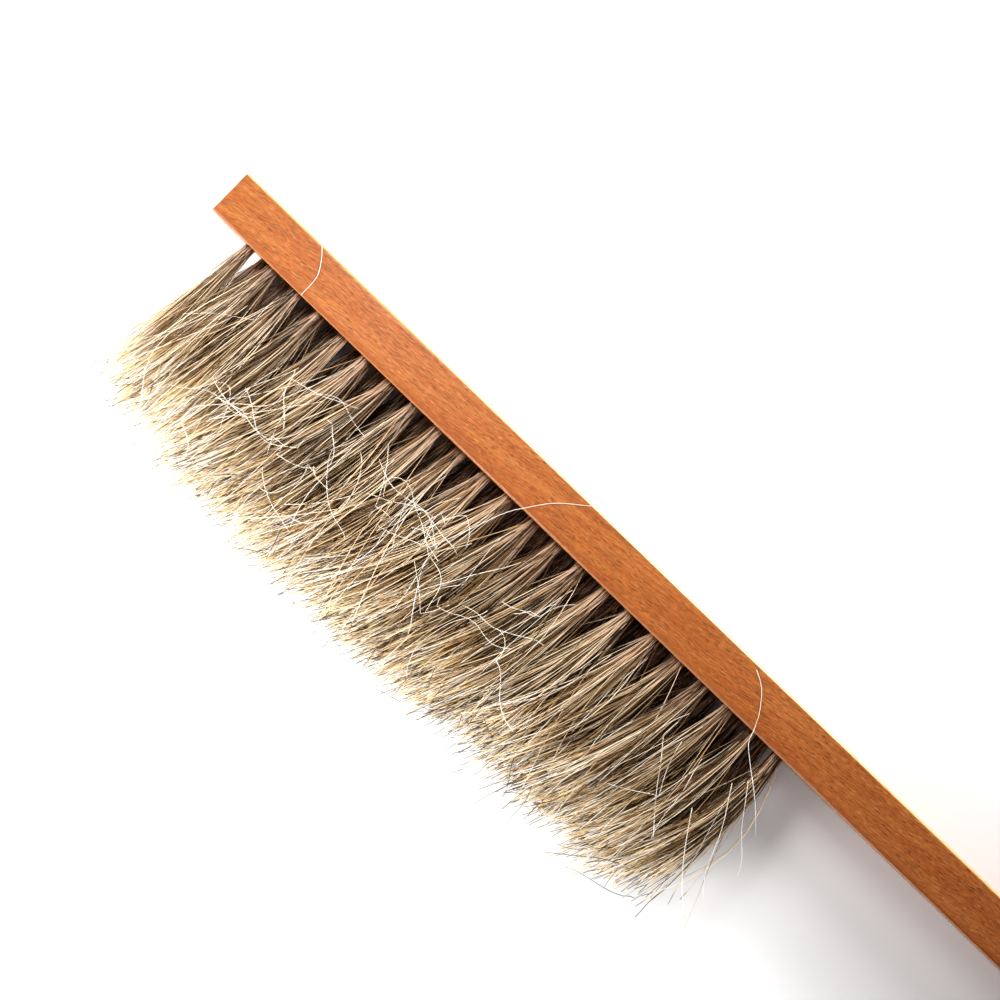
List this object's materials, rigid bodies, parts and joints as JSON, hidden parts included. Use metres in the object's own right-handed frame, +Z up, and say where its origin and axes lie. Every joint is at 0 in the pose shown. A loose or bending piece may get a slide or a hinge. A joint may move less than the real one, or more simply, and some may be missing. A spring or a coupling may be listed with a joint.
{
  "type": "pastry brush",
  "caption": "Long straight bench brush for flour and pastry: a one-piece wooden stock and handle with two staggered rows of natural hair tufts along one edge.",
  "frame": {"origin": "under the middle of the whole brush, on the surface that it lies on", "axes": "+X along the stock from the head end to the handle end, hair towards -Y, +Z up, across the stock's thickness"},
  "size_m": [0.4152, 0.0844, 0.02],
  "materials": {
    "beech": "clear satin varnish over warm orange-brown beech",
    "horsehair": "natural mixed blond, tan and dark horsehair",
    "anchor_steel": "bright flat steel strip"
  },
  "bodies": {
    "root": {"stock": "beech", "front_row_anchors": "anchor_steel", "back_row_anchors": "anchor_steel", "tuft_front_01": "horsehair", "tuft_front_02": "horsehair", "tuft_front_03": "horsehair", "tuft_front_04": "horsehair", "tuft_front_05": "horsehair", "tuft_front_06": "horsehair", "tuft_front_07": "horsehair", "tuft_front_08": "horsehair", "tuft_front_09": "horsehair", "tuft_front_10": "horsehair", "tuft_front_11": "horsehair", "tuft_front_12": "horsehair", "tuft_front_13": "horsehair", "tuft_front_14": "horsehair", "tuft_front_15": "horsehair", "tuft_front_16": "horsehair", "tuft_front_17": "horsehair", "tuft_front_18": "horsehair", "tuft_front_19": "horsehair", "tuft_front_20": "horsehair", "tuft_front_21": "horsehair", "tuft_front_22": "horsehair", "tuft_front_23": "horsehair", "tuft_back_01": "horsehair", "tuft_back_02": "horsehair", "tuft_back_03": "horsehair", "tuft_back_04": "horsehair", "tuft_back_05": "horsehair", "tuft_back_06": "horsehair", "tuft_back_07": "horsehair", "tuft_back_08": "horsehair", "tuft_back_09": "horsehair", "tuft_back_10": "horsehair", "tuft_back_11": "horsehair", "tuft_back_12": "horsehair", "tuft_back_13": "horsehair", "tuft_back_14": "horsehair", "tuft_back_15": "horsehair", "tuft_back_16": "horsehair", "tuft_back_17": "horsehair", "tuft_back_18": "horsehair", "tuft_back_19": "horsehair", "tuft_back_20": "horsehair", "tuft_back_21": "horsehair", "tuft_back_22": "horsehair"}
  },
  "joints": []
}
